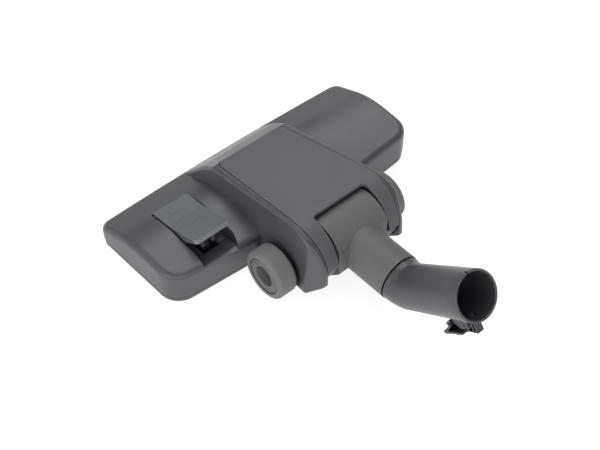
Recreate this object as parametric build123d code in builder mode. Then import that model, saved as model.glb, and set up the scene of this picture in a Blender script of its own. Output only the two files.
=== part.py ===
"""Vacuum floor brush head: a wide head with a brush pedal, two wheels, a tilting neck and a swivel elbow.

Millimetres. X to the right, Y to the front, Z up from the floor. X = 0 is the mid-plane.
"""
import os
from math import cos, radians, sin, tan

from build123d import *

# Head: the two pods and the body between them
head_width = 260.0
head_flare = 2.0
head_front = 52.0
front_bow = 3.8
head_rear = 50.0
rear_sweep = 6.0
front_corner_radius = 10.0
rear_corner_radius = 19.0
parting_height = 8.0
head_height = 35.8
head_rear_height = 32.2
apex_y = 2.5
hump_radius = 90.0
nose_height = 17.0
edge_radius = 5.5
wall = 2.4

# Saddle: raised middle of the housing, with a cheek on each side of the neck
saddle_front_width = 85.0
saddle_rear_width = 99.0
saddle_front_lean = 7.0
saddle_rear_lean = 4.5
saddle_rise = 24.0
saddle_nose_y = 50.0
brow_y = 28.0
brow_drop = 11.0
crown_y = 12.0
crown_height = 51.0
crown_slope = 10.6
crown_radius = 34.0
cheek_overhang = 24.3
cheek_floor = 12.0
cheek_chamfer = 13.5
facet_length = 15.0
facet_width = 6.5
facet_radius = 6.0
saddle_edge_radius = 3.0

# Centre cover
cover_border = 8.5
cover_thickness = 3.0
cover_proud = 0.2
cover_gap = 0.5
cover_corner_radius = 5.0
arm_width = 14.0
arm_taper = 3.5
notch_lead = 7.0
notch_gap = 1.6
notch_radius = 4.0
trunnion_rib = 3.0

# Neck: drum, trunnions and stub
drum_y = -101.7
drum_z = 38.5
drum_radius = 26.9
drum_flat = 22.7
drum_bevel = 24.7
drum_wall = 2.5
trunnion_radius = 13.0
trunnion_inset = 4.5
window_edge = 5.5
window_angle = 30.0
window_span = 80.0
stub_radius = 19.3
stub_length = 62.0
root_radius = 0.9

# Swivel elbow with the tube socket
elbow_radius = 19.5
socket_radius = 17.5
socket_depth = 40.0
elbow_lead = 17.3
elbow_length = 72.3
elbow_angle = 39.7
bend_radius = 45.0
spigot_radius = 16.4
spigot_wall = 2.2
spigot_length = 18.0
swivel_gap = 0.8
clip_width = 2.4
clip_depth = 1.2
clip_inset = 9.0
clip_opening = 9.0
seal_width = 3.0

# Tube latch below the socket
bracket_gap = 10.4
bracket_wall = 2.0
bracket_start = 5.0
bracket_end = 40.0
bracket_drop = 7.0
latch_pivot = 25.0
latch_pivot_drop = 4.5
latch_boss_radius = 4.0
latch_pin_radius = 1.2
latch_reach = 56.0
latch_thickness = 3.0
nose_start = 8.0
latch_nose = 5.0
nose_width = 5.0
nose_swing = 1.8
tab_width = 15.0
tab_drop = 0.6
spring_space = 4.4
spring_wire = 0.9

# Wheels
wheel_radius = 21.5
wheel_width = 17.0
wheel_clear = 6.5
wheel_gap = 1.2
hub_radius = 16.3
hub_recess_radius = 9.4
hub_recess_depth = 9.5
hub_floor_radius = 6.8
tyre_round = 2.6
hub_groove = 0.5
axle_radius = 3.0
axle_head_radius = 5.4
axle_head = 2.0
axle_root = 5.5
axle_boss_radius = 7.0

# Brush pedal
pedal_shift = 5.95
pedal_width = 34.0
pedal_gap = 1.2
pedal_front = 17.6
pedal_pivot_y = -6.0
pedal_pivot_z = 26.0
pedal_front_drop = 2.3
pedal_crease_y = -3.5
pedal_crease_z = 35.0
pedal_rear = -39.0
pedal_corner_radius = 2.8
pedal_swing = 18.0
pedal_plate = 2.6
pedal_skirt = 2.0
pedal_arm = 3.0
pedal_arm_space = 7.0
pedal_hub_radius = 4.4
pedal_pin_radius = 2.0
arm_rear = -32.0
leaf_width = 6.0
leaf_thickness = 0.6
well_wall = 1.6
well_foot = 15.0
well_sill = 28.0
well_bed = 22.0
well_knee = 2.0
well_turn_left = 8.0
well_turn_right = 21.0
bed_rise_y = -34.0
bed_front = -13.0
bed_slot_width = 16.0
bed_slot_rear = -36.0

# Brush carrier and what it carries
drive_reach = 20.0
drive_pin_radius = 1.6
carrier_spacing = 52.0
carrier_bar = 5.0
carrier_inset = 9.0
carrier_rest = 9.5
carrier_height = 3.5
bristle_thickness = 2.6
bristle_inset = 7.0
bristle_tip = 1.0
guide_radius = 2.0
guide_height = 20.0

# Sole plate
sole_inset = 0.7
sole_skin = 2.5
sole_chamfer = 1.8
channel_inset = 11.0
channel_width = 21.0
channel_depth = 10.5
channel_wall = 2.0
mouth_length = 60.0
bridge_width = 4.0
bridge_height = 5.0
lint_offset = 17.0
lint_width = 5.0
lint_length = 74.0
lint_depth = 1.4

# Duct and cradle
duct_width = 64.0
duct_wall = 1.6
duct_front_height = 14.0
duct_floor = 16.6
crown_gap = 4.0
duct_lap = 9.0
cradle_plate = 2.4
cradle_margin = 7.5
block_length = 22.0
block_radius = 22.5
trough_wall = 2.2

# Screws
screw_radius = 1.5
screw_length = 11.0
screw_head_radius = 3.1
screw_head = 2.0
screw_recess = 3.6
screw_recess_width = 0.8
boss_radius = 4.2
screw_margin = 3.7
front_screw_shift = 1.0
front_screw_y = 40.0
rear_screw_y = -39.0
cradle_screw_inset = 5.5294
cradle_screw_lead = 19.0

# Clearances
running = 0.06
seat = 0.02
clear = 0.4

os.makedirs("parts", exist_ok=True)

# Values worked out from the driving dimensions
half_width = head_width / 2
saddle_rear = -drum_y + cheek_overhang
saddle_top = crown_height + saddle_rise
brow_height = crown_height - brow_drop
crown_rise = tan(radians(crown_slope))
cover_front_width = saddle_front_width - 2 * cover_border
cover_rear_width = saddle_rear_width - 2 * cover_border
notch_width = cover_rear_width - 2 * arm_width
notch_y = drum_y + notch_lead
arm_end_height = drum_z + cover_gap
drum_length = notch_width - 2 * notch_gap
trunnion_reach = notch_gap + arm_width - trunnion_inset
wheel_y = -head_rear - rear_sweep - wheel_clear - wheel_radius
pedal_x = pedal_shift - (half_width + saddle_front_width / 2) / 2
rear_inner_x = saddle_rear_width / 2
carrier_travel = 2 * drive_reach * tan(radians(pedal_swing / 2))
drive_y = pedal_pivot_y - drive_reach
drive_z = pedal_pivot_z + carrier_travel / 2
groove_y = drum_y - stub_length
elbow_y = groove_y - swivel_gap - elbow_lead
elbow_axis = Vector(0, -cos(radians(elbow_angle)), sin(radians(elbow_angle)))
mouth_centre = Vector(0, elbow_y, drum_z) + elbow_axis * elbow_length
mouth_plane = Plane(mouth_centre, x_dir=(1, 0, 0), z_dir=elbow_axis)
latch_plane = Plane(mouth_centre, x_dir=-elbow_axis, z_dir=(1, 0, 0))
drum_plane = Plane((0, drum_y, drum_z), x_dir=(0, 1, 0), z_dir=(1, 0, 0))
wheel_inner = saddle_rear_width / 2 + wheel_gap


def save(builder, name):
    """Labels a finished piece and writes it."""
    builder.part.label = name
    export_step(builder.part, f"parts/{name}.step")


def corner(y, z):
    """The corner of the active sketch that is nearest to a point."""
    return vertices().sort_by_distance((y, z))[0]


def outer_rim(patch):
    """Edges round a patch of faces, without those between two of them."""
    every = [e for f in patch for e in f.edges()]
    return [e for e in every if sum(e.is_same(other) for other in every) == 1]


def head_plan(inset):
    """Plan outline of the head in the active sketch."""
    side_front = half_width + head_flare
    front_end = head_front - front_bow
    rear_inner = -head_rear - rear_sweep
    with BuildLine() as outline:
        ThreePointArc((-side_front, front_end), (0, head_front), (side_front, front_end))
        Polyline(
            (side_front, front_end),
            (half_width, -head_rear),
            (rear_inner_x, rear_inner),
            (-rear_inner_x, rear_inner),
            (-half_width, -head_rear),
            (-side_front, front_end),
        )
    make_face(outline.edges())
    fillet([corner(x, front_end) for x in (-side_front, side_front)], front_corner_radius)
    fillet([corner(x, -head_rear) for x in (-half_width, half_width)], rear_corner_radius)
    if inset > 0:
        offset(amount=-inset, mode=Mode.REPLACE)


def head_profile(inset):
    """Side outline of the head in the active sketch: a long slope in front and a gentle one behind."""
    rear_slope = (head_height - head_rear_height) / (apex_y + head_rear)
    front_slope = (head_height - nose_height) / (head_front - apex_y)
    reach = head_rear + head_front
    with BuildLine() as outline:
        Polyline(
            (apex_y - reach, head_height - rear_slope * reach),
            (apex_y, head_height),
            (apex_y + reach, head_height - front_slope * reach),
            (apex_y + reach, -reach),
            (apex_y - reach, -reach),
            close=True,
        )
    make_face(outline.edges())
    fillet(corner(apex_y, head_height), hump_radius)
    if inset > 0:
        offset(amount=-inset, mode=Mode.REPLACE)


def head_form(inset, bottom):
    """Plan and side outline of the head, crossed, with its upper edge rounded."""
    with BuildPart() as form:
        with BuildSketch(Plane.XY.offset(bottom)):
            head_plan(inset)
        extrude(amount=2 * head_height)
        with BuildSketch(Plane.YZ):
            head_profile(inset)
        extrude(amount=head_width, both=True, mode=Mode.INTERSECT)
        fillet(outer_rim(faces().filter_by(lambda f: f.normal_at().Z > 0.5)), edge_radius - inset / 2)
    return form.part


def saddle_section(level, inset):
    """Plan section of the saddle at one height, in the active sketch."""
    rise = (level - cheek_floor) / (saddle_top - cheek_floor)
    front_x = saddle_front_width / 2 - saddle_front_lean * rise - inset
    rear_x = saddle_rear_width / 2 - saddle_rear_lean * rise - inset
    facet_y = -saddle_rear + facet_length
    end_x = rear_x - facet_width
    end_y = -saddle_rear - wall
    with BuildLine() as outline:
        Polyline(
            (front_x, saddle_nose_y + wall),
            (rear_x, facet_y),
            (end_x, end_y),
            (-end_x, end_y),
            (-rear_x, facet_y),
            (-front_x, saddle_nose_y + wall),
            close=True,
        )
    make_face(outline.edges())
    fillet([corner(x, facet_y) for x in (-rear_x, rear_x)], facet_radius)


def saddle_half_width(y):
    """Half the width of the saddle's foot at one place between its front end and its facets."""
    front_y = saddle_nose_y + wall
    facet_y = -saddle_rear + facet_length
    share = (front_y - y) / (front_y - facet_y)
    return (saddle_front_width + (saddle_rear_width - saddle_front_width) * share) / 2


def crown_height_at(y):
    """Height of the saddle's sloping top over a point of the mid-plane."""
    return crown_height + (crown_y - y) * crown_rise


def crown_region(inset):
    """Region under the saddle's top line and its rear curve, in the active sketch."""
    reach = head_front + crown_y
    with BuildLine() as outline:
        Polyline(
            (reach, crown_height_at(reach)),
            (-saddle_rear, crown_height_at(-saddle_rear)),
            (-saddle_rear, -saddle_top),
            (reach, -saddle_top),
            close=True,
        )
    make_face(outline.edges())
    fillet(corner(-saddle_rear, crown_height_at(-saddle_rear)), crown_radius)
    if inset:
        offset(amount=-inset, mode=Mode.REPLACE)


def brow_region(inset):
    """Region behind the saddle's steep front and above its bevelled heel, in the active sketch."""
    heel = cheek_floor + cheek_chamfer
    with BuildLine() as outline:
        Polyline(
            (saddle_nose_y, -saddle_top),
            (saddle_nose_y, nose_height),
            (brow_y, brow_height),
            (crown_y, crown_height),
            (crown_y - saddle_top, crown_height + saddle_top),
            (-saddle_rear - 2 * wall, crown_height + saddle_top),
            (-saddle_rear - 2 * wall, heel + 2 * wall),
            (heel - saddle_rear + saddle_top, -saddle_top),
            close=True,
        )
    make_face(outline.edges())
    fillet(corner(brow_y, brow_height), crown_radius)
    if inset > 0:
        offset(amount=-inset, mode=Mode.REPLACE)


def saddle_form(side_inset, top_inset, bottom, rim_radius):
    """Leaning sides of the saddle, crossed with its side outline."""
    with BuildPart() as form:
        with BuildSketch(Plane.XY.offset(bottom)):
            saddle_section(bottom, side_inset)
        with BuildSketch(Plane.XY.offset(saddle_top)):
            saddle_section(saddle_top, side_inset)
        loft(ruled=True)
        with BuildSketch(Plane.YZ):
            crown_region(top_inset)
        extrude(amount=head_width, both=True, mode=Mode.INTERSECT)
        with BuildSketch(Plane.YZ):
            brow_region(side_inset)
        extrude(amount=head_width, both=True, mode=Mode.INTERSECT)
        if rim_radius > 0:
            fillet(outer_rim(faces().filter_by(lambda f: f.normal_at().Z > 0.3)), rim_radius)
    return form.part


def cover_plan(gap):
    """Plan outline of the centre cover, in the active sketch."""
    front_x = cover_front_width / 2 + gap
    rear_x = cover_rear_width / 2 + gap
    end_x = rear_x - arm_taper
    end_y = -saddle_rear - wall
    with BuildLine() as outline:
        Polyline(
            (front_x, crown_y + gap),
            (rear_x, notch_y),
            (end_x, end_y),
            (-end_x, end_y),
            (-rear_x, notch_y),
            (-front_x, crown_y + gap),
            close=True,
        )
    make_face(outline.edges())
    fillet([corner(x, crown_y) for x in (-front_x, front_x)], cover_corner_radius)


def cover_form(gap):
    """Curved plate of the centre cover, without its notch."""
    with BuildPart() as form:
        with BuildSketch(Plane.XY.offset(arm_end_height - gap)):
            cover_plan(gap)
        extrude(amount=saddle_top)
        with BuildSketch(Plane.YZ):
            crown_region(-cover_proud)
        extrude(amount=head_width, both=True, mode=Mode.INTERSECT)
        with BuildSketch(Plane.YZ):
            crown_region(cover_thickness - cover_proud + gap)
        extrude(amount=head_width, both=True, mode=Mode.SUBTRACT)
    return form.part


def well_plan(grow):
    """Plan outline of the pedal's well, in the active sketch; its rear end turns outward."""
    left = pedal_x - well_width / 2 - grow
    right = pedal_x + well_width / 2 + grow
    run = well_back - well_rear
    with BuildLine() as outline:
        Polyline(
            (left, well_front + grow),
            (right, well_front + grow),
            (right, well_back),
            (right - run * tan(radians(well_turn_right)), well_rear),
            (left - run * tan(radians(well_turn_left)), well_rear),
            (left, well_back),
            close=True,
        )
    make_face(outline.edges())


def drum_profile(inset):
    """Side outline of the drum in the active sketch: round, with a flat behind and a bevel below it."""
    Circle(drum_radius - inset)
    with Locations((inset - drum_flat - drum_radius, 0)):
        Rectangle(2 * drum_radius, 4 * drum_radius, mode=Mode.SUBTRACT)
    slant = (drum_bevel - inset + drum_radius) * cos(radians(45))
    with Locations((-slant, -slant)):
        Rectangle(2 * drum_radius, 4 * drum_radius, rotation=45, mode=Mode.SUBTRACT)


def pad_height(y):
    """Height of the pedal's rear pad over a point."""
    return pedal_crease_z + (pedal_crease_y - y) * tan(swing)


def mirrored(x):
    """A place on both sides of the mid-plane."""
    return (-x, x)


def duct_points(inset):
    """Side outline of the suction duct, open below to the channel and behind to the drum."""
    mouth = channel_width / 2 + channel_wall - inset
    foot = channel_top - (2 * inset)
    opening = 2 * inset
    bend = (duct_rear + row_middle) / 2
    return [
        (row_middle + mouth, foot),
        (row_middle + mouth, channel_top + duct_front_height - inset),
        (bend, (duct_ceiling + channel_top + duct_front_height) / 2 + crown_gap - inset),
        (duct_rear - opening, duct_ceiling - inset),
        (duct_rear - opening, duct_floor + inset),
        (row_middle - mouth - duct_front_height, duct_floor + inset),
        (row_middle - mouth, foot),
    ]


# Upper housing
pocket_depth = cover_thickness - cover_proud + cover_gap
head_outer = head_form(0, parting_height)
head_hollow = head_form(wall, 0)
saddle_outer = saddle_form(0, 0, cheek_floor, saddle_edge_radius)
saddle_hollow = saddle_form(wall, pocket_depth + wall, -cheek_floor, 0)
cover_pocket = cover_form(cover_gap)
way_front = drum_y + drum_radius + clear
well_width = pedal_width + 2 * pedal_gap
well_front = pedal_front + pedal_gap
well_rear = -2 * head_rear
well_back = pedal_rear - well_knee
front_screw_x = half_width / 2 + front_screw_shift
rear_screw_x = -pedal_x + well_width / 2 + well_wall + boss_radius + screw_margin
cradle_screw_y = wheel_y + cradle_screw_lead
cradle_screw_x = saddle_half_width(cradle_screw_y) - cradle_screw_inset
pin_reach = well_width / 2 + 2 * well_wall
axle_z = wheel_radius
axle_inner = wheel_inner - clear - wheel_gap - wall - axle_root
screw_seat = [
    (side * x, y)
    for side in (-1, 1)
    for x, y in ((front_screw_x, front_screw_y), (rear_screw_x, rear_screw_y))
]
cradle_screws = [(x, cradle_screw_y) for x in mirrored(cradle_screw_x)]
cradle_top = cheek_floor + cradle_plate

head_middle = head_form(wall / 2, parting_height)

with BuildPart() as well_block:
    add(head_middle)
    with BuildSketch(Plane.XY.offset(well_foot)):
        well_plan(well_wall)
    extrude(amount=2 * head_height, mode=Mode.INTERSECT)

with BuildPart() as well_space:
    add(head_hollow)
    with BuildSketch():
        well_plan(0)
    extrude(amount=2 * head_height, mode=Mode.INTERSECT)

with BuildPart() as bed:
    add(head_middle)
    with BuildSketch():
        well_plan(well_wall / 2)
    extrude(amount=2 * head_height, mode=Mode.INTERSECT)
    with BuildSketch(Plane.YZ):
        with BuildLine():
            Polyline(
                (well_rear, well_sill),
                (-head_rear, well_sill),
                (bed_rise_y, well_bed),
                (bed_front, well_bed),
                (bed_front, well_bed - well_wall),
                (bed_rise_y, well_bed - well_wall),
                (-head_rear, well_sill - well_wall),
                (well_rear, well_sill - well_wall),
                close=True,
            )
        make_face()
    extrude(amount=head_width, both=True, mode=Mode.INTERSECT)
    with BuildSketch():
        with Locations((pedal_x, (bed_slot_rear + well_front) / 2)):
            Rectangle(bed_slot_width, well_front - bed_slot_rear)
    extrude(amount=2 * head_height, mode=Mode.SUBTRACT)

with BuildPart() as bosses:
    add(head_middle)
    with BuildSketch():
        with Locations(*screw_seat):
            Circle(boss_radius)
    extrude(amount=2 * head_height, mode=Mode.INTERSECT)

with BuildPart() as upper_housing:
    add(head_outer)
    add(saddle_outer)
    add(head_hollow, mode=Mode.SUBTRACT)
    add(saddle_hollow, mode=Mode.SUBTRACT)
    add(cover_pocket, mode=Mode.SUBTRACT)
    # Way for the neck between the cheeks
    with BuildSketch():
        cover_plan(cover_gap)
        with Locations((0, way_front + saddle_rear)):
            Rectangle(head_width, 2 * saddle_rear, mode=Mode.SUBTRACT)
    extrude(amount=2 * saddle_top, mode=Mode.SUBTRACT)
    # Well of the pedal, open above its sill
    add(well_block.part)
    add(well_space.part, mode=Mode.SUBTRACT)
    add(bed.part)
    with BuildSketch(Plane.XY.offset(well_sill)):
        well_plan(0)
    extrude(amount=head_height, mode=Mode.SUBTRACT)
    # Pivot bosses beside the well
    for side in (-1, 1):
        with BuildSketch(Plane.YZ.offset(pedal_x + side * well_width / 2)):
            with Locations((pedal_pivot_y, pedal_pivot_z)):
                Circle(2 * pedal_pin_radius)
        extrude(amount=side * 2 * well_wall)
    with BuildSketch(Plane.YZ.offset(pedal_x)):
        with Locations((pedal_pivot_y, pedal_pivot_z)):
            Circle(pedal_pin_radius + seat)
    extrude(amount=well_width, both=True, mode=Mode.SUBTRACT)
    # Screw bosses
    add(bosses.part)
    with BuildSketch(Plane.XY.offset(parting_height)):
        with Locations(*screw_seat):
            Circle(screw_radius + seat)
    extrude(amount=screw_length, mode=Mode.SUBTRACT)
    with BuildSketch(Plane.XY.offset(cradle_top + seat)):
        with Locations(*cradle_screws):
            Circle(boss_radius)
            Circle(screw_radius + seat, mode=Mode.SUBTRACT)
    extrude(amount=screw_length + screw_head)
    # Axle bosses in the cheeks
    for side in (-1, 1):
        with BuildSketch(Plane.YZ.offset(side * axle_inner)):
            with Locations((wheel_y, axle_z)):
                Circle(axle_boss_radius)
        extrude(amount=side * (wheel_inner - clear - axle_inner))
        with BuildSketch(Plane.YZ.offset(side * axle_inner)):
            with Locations((wheel_y, axle_z)):
                Circle(axle_radius + seat)
        extrude(amount=side * wheel_width, mode=Mode.SUBTRACT)
save(upper_housing, "upper_housing")

# Centre cover, with a rib over each trunnion
with BuildPart() as centre_cover:
    add(cover_form(0))
    with BuildSketch():
        with Locations((0, notch_y - saddle_rear)):
            RectangleRounded(notch_width, 2 * saddle_rear, notch_radius)
    extrude(amount=2 * saddle_top, mode=Mode.SUBTRACT)
    for side in (-1, 1):
        with BuildSketch(Plane.YZ.offset(side * (notch_width + cover_rear_width) / 4 - trunnion_rib / 2)):
            crown_region(cover_thickness / 2)
            with Locations((drum_y, arm_end_height + saddle_top / 2)):
                Rectangle(2 * trunnion_radius, saddle_top, mode=Mode.INTERSECT)
            with Locations((drum_y, drum_z)):
                Circle(trunnion_radius + clear, mode=Mode.SUBTRACT)
        extrude(amount=trunnion_rib)
save(centre_cover, "centre_cover")

# Neck: drum with trunnions, and the stub that grows from its flat
stub_plane = Plane((0, drum_y, drum_z), x_dir=(1, 0, 0), z_dir=(0, -1, 0))
seat_radius = spigot_radius + running
bore_radius = spigot_radius - spigot_wall
ring_radius = spigot_radius + clip_depth
spigot_start = stub_length - spigot_length
window_edges = [radians(window_angle + side * window_span / 2) for side in (-1, 1)]
window_rays = [(2 * drum_radius * cos(a), 2 * drum_radius * sin(a)) for a in window_edges]

with BuildPart() as neck_drum:
    with BuildSketch(drum_plane):
        drum_profile(0)
    extrude(amount=drum_length / 2, both=True)
    with BuildSketch(stub_plane):
        Circle(stub_radius)
    extrude(amount=stub_length)
    stub_face = faces().filter_by(GeomType.CYLINDER).sort_by(Axis.Y)[0]
    fillet(stub_face.edges().filter_by(lambda e: e.center().Y > groove_y + root_radius), root_radius)
    with BuildSketch(drum_plane):
        drum_profile(drum_wall)
    extrude(amount=drum_length / 2 - drum_wall, both=True, mode=Mode.SUBTRACT)
    for side in (-1, 1):
        with BuildSketch(drum_plane.offset(side * drum_length / 2)):
            Circle(trunnion_radius)
        extrude(amount=side * trunnion_reach)
    # Window to the suction duct, open to it at every tilt of the neck
    with BuildSketch(drum_plane):
        with BuildLine():
            Polyline((0, 0), *window_rays, close=True)
        make_face()
    extrude(amount=drum_length / 2 - window_edge, both=True, mode=Mode.SUBTRACT)
    with BuildSketch(stub_plane):
        Circle(bore_radius)
    extrude(amount=stub_length, mode=Mode.SUBTRACT)
    with BuildSketch(stub_plane.offset(spigot_start - clear)):
        Circle(seat_radius)
    extrude(amount=stub_length, mode=Mode.SUBTRACT)
    with BuildSketch(stub_plane.offset(stub_length - clip_inset - clip_width - seat)):
        Circle(ring_radius)
    extrude(amount=clip_width + 2 * seat, mode=Mode.SUBTRACT)
    with BuildSketch(stub_plane.offset(stub_length - seal_width)):
        Circle(ring_radius)
    extrude(amount=seal_width, mode=Mode.SUBTRACT)
save(neck_drum, "neck_drum")

# Split clip and seal between stub and spigot
with BuildPart() as swivel_clip:
    with BuildSketch(stub_plane.offset(stub_length - clip_inset - clip_width)):
        Circle(ring_radius - running)
        Circle(spigot_radius - clip_depth + clear, mode=Mode.SUBTRACT)
        with Locations((0, -ring_radius)):
            Rectangle(clip_opening, ring_radius, mode=Mode.SUBTRACT)
    extrude(amount=clip_width)
save(swivel_clip, "swivel_clip")

with BuildPart() as swivel_seal:
    with BuildSketch(stub_plane.offset(stub_length - seal_width + seat)):
        Circle(ring_radius - running)
        Circle(seat_radius, mode=Mode.SUBTRACT)
    extrude(amount=seal_width)
save(swivel_seal, "swivel_seal")

# Swivel elbow: spigot, bend, socket and latch bracket
elbow_start = stub_plane.offset(stub_length + swivel_gap)
bracket_y = -elbow_radius - bracket_drop
pivot_place = (latch_pivot, -elbow_radius - latch_pivot_drop)

with BuildPart() as swivel_elbow:
    with BuildLine() as elbow_path:
        FilletPolyline(elbow_start.origin, (0, elbow_y, drum_z), mouth_centre, radius=bend_radius)
    with BuildSketch(elbow_start):
        Circle(elbow_radius)
    sweep(path=elbow_path.wires()[0])
    with BuildSketch(elbow_start):
        Circle(spigot_radius)
    extrude(amount=-spigot_length - swivel_gap)
    with BuildSketch(elbow_start.offset(-swivel_gap - clip_inset - clip_width - clear)):
        Circle(elbow_radius)
        Circle(spigot_radius - clip_depth, mode=Mode.SUBTRACT)
    extrude(amount=clip_width + 2 * clear, mode=Mode.SUBTRACT)
    for side in (-1, 1):
        with BuildSketch(latch_plane.offset(side * bracket_gap / 2)):
            with BuildLine():
                Polyline(
                    (bracket_start, -socket_radius - wall / 2),
                    (bracket_start + wall, bracket_y + wall),
                    (latch_pivot - wall, bracket_y),
                    (latch_pivot + wall, bracket_y),
                    (bracket_end, -socket_radius - wall / 2),
                    close=True,
                )
            make_face()
            with Locations(pivot_place):
                Circle(latch_boss_radius)
        extrude(amount=side * bracket_wall)
    with BuildSketch(elbow_start):
        Circle(bore_radius)
    sweep(path=elbow_path.wires()[0], mode=Mode.SUBTRACT)
    with BuildSketch(elbow_start):
        Circle(bore_radius)
    extrude(amount=-spigot_length - swivel_gap, mode=Mode.SUBTRACT)
    with BuildSketch(mouth_plane):
        Circle(socket_radius)
    extrude(amount=-socket_depth, mode=Mode.SUBTRACT)
    with BuildSketch(latch_plane):
        with Locations(pivot_place):
            Circle(latch_pin_radius + seat)
    extrude(amount=bracket_gap, both=True, mode=Mode.SUBTRACT)
    # Slot for the latch's nose
    with BuildSketch(latch_plane):
        with Locations((nose_start + (latch_nose + clear - nose_swing) / 2, -socket_radius)):
            Rectangle(latch_nose + nose_swing + clear, 2 * (elbow_radius - socket_radius) + clear)
    extrude(amount=nose_width / 2 + clear, both=True, mode=Mode.SUBTRACT)
save(swivel_elbow, "swivel_elbow")

# Latch lever, its pin and its spring
lever_width = bracket_gap - 2 * clear
lever_y = pivot_place[1]
half_lever = latch_thickness / 2
tab_start = bracket_end + wall + latch_thickness

with BuildPart() as latch_lever:
    with BuildSketch(latch_plane.offset(-lever_width / 2)):
        with BuildLine():
            Polyline(
                (nose_start, lever_y - half_lever),
                (nose_start, lever_y + half_lever),
                (tab_start, lever_y + half_lever),
                (latch_reach, lever_y - tab_drop + half_lever),
                (latch_reach, lever_y - tab_drop - half_lever),
                (tab_start, lever_y - half_lever),
                close=True,
            )
        make_face()
        with Locations(pivot_place):
            Circle(latch_thickness)
    extrude(amount=lever_width)
    with BuildSketch(latch_plane.offset(-nose_width / 2)):
        with BuildLine():
            Polyline(
                (nose_start, lever_y),
                (nose_start, -socket_radius - clear),
                (nose_start + latch_nose / 2, -socket_radius - clear),
                (nose_start + latch_nose, lever_y),
                close=True,
            )
        make_face()
    extrude(amount=nose_width)
    # Thumb tab, wider than the bracket
    with BuildSketch(latch_plane.offset(-tab_width / 2)):
        with BuildLine():
            Polyline(
                (tab_start, lever_y + half_lever),
                (latch_reach, lever_y - tab_drop + half_lever),
                (latch_reach, lever_y - tab_drop - half_lever),
                (tab_start, lever_y - half_lever),
                close=True,
            )
        make_face()
    extrude(amount=tab_width)
    with BuildSketch(latch_plane):
        with Locations(pivot_place):
            Circle(latch_thickness + clear)
    extrude(amount=spring_space / 2, both=True, mode=Mode.SUBTRACT)
    with BuildSketch(latch_plane):
        with Locations(pivot_place):
            Circle(latch_pin_radius + running)
    extrude(amount=lever_width, both=True, mode=Mode.SUBTRACT)
save(latch_lever, "latch_lever")

with BuildPart() as latch_pin:
    with BuildSketch(latch_plane):
        with Locations(pivot_place):
            Circle(latch_pin_radius)
    extrude(amount=bracket_gap / 2 + bracket_wall, both=True)
save(latch_pin, "latch_pin")

spring_turns = int(spring_space / spring_wire) - 1
spring_radius = latch_pin_radius + clear + spring_wire / 2
pin_plane = Plane(latch_plane.from_local_coords(pivot_place), x_dir=(1, 0, 0), z_dir=elbow_axis)
turn_places = [(spring_wire * (n - (spring_turns - 1) / 2), spring_radius) for n in range(spring_turns)]

with BuildPart() as latch_spring:
    with BuildSketch(pin_plane):
        with Locations(*turn_places):
            Circle(spring_wire / 2)
        with Locations((0, spring_radius)):
            Rectangle(spring_wire * (spring_turns - 1), spring_wire / 2)
    revolve(axis=Axis(pin_plane.origin, (1, 0, 0)))
save(latch_spring, "latch_spring")

# Wheels: rubber tyre, hub with a deep conical recess, headed axle
hub_face = wheel_width - hub_groove
hub_web = hub_face - hub_recess_depth

for side, name in ((-1, "left"), (1, "right")):
    wheel_plane = Plane((0, wheel_y, axle_z), x_dir=(side, 0, 0), z_dir=(0, -side, 0))
    wheel_axis = Axis((0, wheel_y, axle_z), (1, 0, 0))

    with BuildPart() as tyre:
        with BuildSketch(wheel_plane):
            with Locations((wheel_inner + wheel_width / 2, (hub_radius + wheel_radius) / 2)):
                Rectangle(wheel_width, wheel_radius - hub_radius)
            outer = vertices().group_by(Axis.Y)[-1]
            fillet(outer, tyre_round)
        revolve(axis=wheel_axis)
    save(tyre, f"wheel_tyre_{name}")

    with BuildPart() as hub:
        with BuildSketch(wheel_plane):
            with BuildLine():
                Polyline(
                    (wheel_inner, axle_radius + running),
                    (wheel_inner, hub_radius - seat),
                    (wheel_inner + hub_face - hub_groove, hub_radius - seat),
                    (wheel_inner + hub_face - hub_groove, hub_radius - 2 * hub_groove),
                    (wheel_inner + hub_face, hub_radius - 2 * hub_groove),
                    (wheel_inner + hub_face, hub_recess_radius),
                    (wheel_inner + hub_web, hub_floor_radius),
                    (wheel_inner + hub_web, axle_radius + running),
                    close=True,
                )
            make_face()
        revolve(axis=wheel_axis)
    save(hub, f"wheel_hub_{name}")

    head_x = wheel_inner + hub_web + clear
    with BuildPart() as axle:
        with BuildSketch(wheel_plane):
            with BuildLine():
                Polyline(
                    (axle_inner, 0),
                    (axle_inner, axle_radius),
                    (head_x, axle_radius),
                    (head_x, axle_head_radius),
                    (head_x + axle_head, axle_head_radius),
                    (head_x + axle_head, 0),
                    close=True,
                )
            make_face()
        revolve(axis=wheel_axis)
    save(axle, f"axle_{name}")

# Pedal: two pads at an angle, skirts, hub and the two arms that drive the brush
swing = radians(pedal_swing)
pedal_rear_z = pad_height(pedal_rear)
pedal_front_z = pedal_crease_z - pedal_front_drop
lip_y = pedal_rear - pedal_plate * sin(swing)
lip_z = pedal_rear_z - pedal_plate * cos(swing)
skirt_end = drive_y + drive_reach / 8
under = pedal_plate / cos(swing)
left_skirt = pedal_x - pedal_width / 2

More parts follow.
